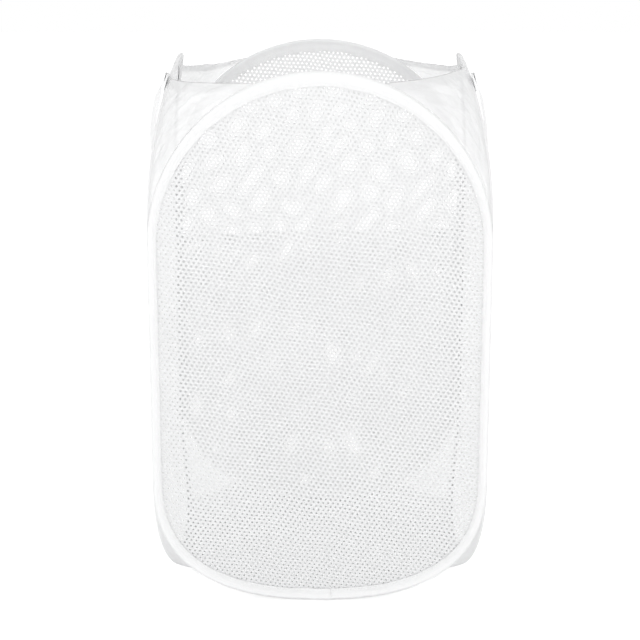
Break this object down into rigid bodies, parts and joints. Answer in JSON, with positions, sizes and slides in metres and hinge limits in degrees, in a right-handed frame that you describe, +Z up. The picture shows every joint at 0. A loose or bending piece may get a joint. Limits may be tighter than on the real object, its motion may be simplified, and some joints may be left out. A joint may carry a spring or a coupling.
{
  "type": "pop up laundry hamper",
  "caption": "Square white mesh pop-up laundry hamper on bowed sprung hoops, with cloth corners and base, a mesh pocket on the back panel and webbing side handles.",
  "frame": {"origin": "middle of the base cloth's underside, on the floor, midway between the four panels", "axes": "+Z up through the open top, -Y out through the front panel, +X towards the right panel as seen from the front"},
  "size_m": [0.3678, 0.376, 0.57],
  "materials": {
    "binding": "white folded polyester tape",
    "mesh": "white knitted polyester mesh",
    "cloth": "thin white woven nylon",
    "webbing": "white woven webbing",
    "steel": "bare spring steel"
  },
  "bodies": {
    "front_panel": {"front_binding": "binding", "front_spring_hoop": "steel", "front_hoop_ferrule": "steel", "front_mesh_panel": "mesh", "base_cloth": "cloth", "front_left_upper_gusset": "cloth", "front_left_lower_gusset": "cloth", "front_right_upper_gusset": "cloth", "front_right_lower_gusset": "cloth"},
    "left_panel": {"left_binding": "binding", "left_spring_hoop": "steel", "left_hoop_ferrule": "steel", "left_mesh_panel": "mesh", "left_handle_tab_a": "webbing", "left_handle_tab_b": "webbing"},
    "right_panel": {"right_binding": "binding", "right_spring_hoop": "steel", "right_hoop_ferrule": "steel", "right_mesh_panel": "mesh", "right_handle_tab_a": "webbing", "right_handle_tab_b": "webbing"},
    "back_panel": {"back_binding": "binding", "back_spring_hoop": "steel", "back_hoop_ferrule": "steel", "back_mesh_panel": "mesh", "back_pocket_mesh": "mesh", "back_pocket_hem": "binding", "back_left_upper_gusset": "cloth", "back_left_lower_gusset": "cloth", "back_right_upper_gusset": "cloth", "back_right_lower_gusset": "cloth"},
    "left_handle": {"left_handle_strap": "webbing"},
    "right_handle": {"right_handle_strap": "webbing"}
  },
  "joints": [
    {"name": "left_fold", "type": "hinge", "parent": "front_panel", "child": "left_panel", "pos_m": [-0.1757, -0.175, 0], "axis": [0, 0, 1], "range_deg": [0, 58], "stiffness_Nm_per_rad": 0.5, "deforming": ["front_left_upper_gusset", "front_left_lower_gusset", "base_cloth"]},
    {"name": "right_fold", "type": "hinge", "parent": "front_panel", "child": "right_panel", "pos_m": [0.1707, -0.175, 0], "axis": [0, 0, 1], "range_deg": [0, 58], "deforming": ["front_right_upper_gusset", "front_right_lower_gusset", "back_right_upper_gusset", "back_right_lower_gusset"]},
    {"name": "back_fold", "type": "hinge", "parent": "left_panel", "child": "back_panel", "pos_m": [-0.1707, 0.175, 0], "axis": [0, 0, 1], "range_deg": [-58, 0], "deforming": ["back_left_upper_gusset", "back_left_lower_gusset"]},
    {"name": "left_handle_lift", "type": "hinge", "parent": "left_panel", "child": "left_handle", "pos_m": [-0.16002, 0, 0.5585], "axis": [0, 1, 0], "range_deg": [0, 165]},
    {"name": "right_handle_lift", "type": "hinge", "parent": "right_panel", "child": "right_handle", "pos_m": [0.16002, 0, 0.5585], "axis": [0, -1, 0], "range_deg": [0, 165]}
  ],
  "couplings": [
    {"joint": "right_fold", "follows": "left_fold", "ratio": 1},
    {"joint": "back_fold", "follows": "left_fold", "ratio": -1}
  ]
}
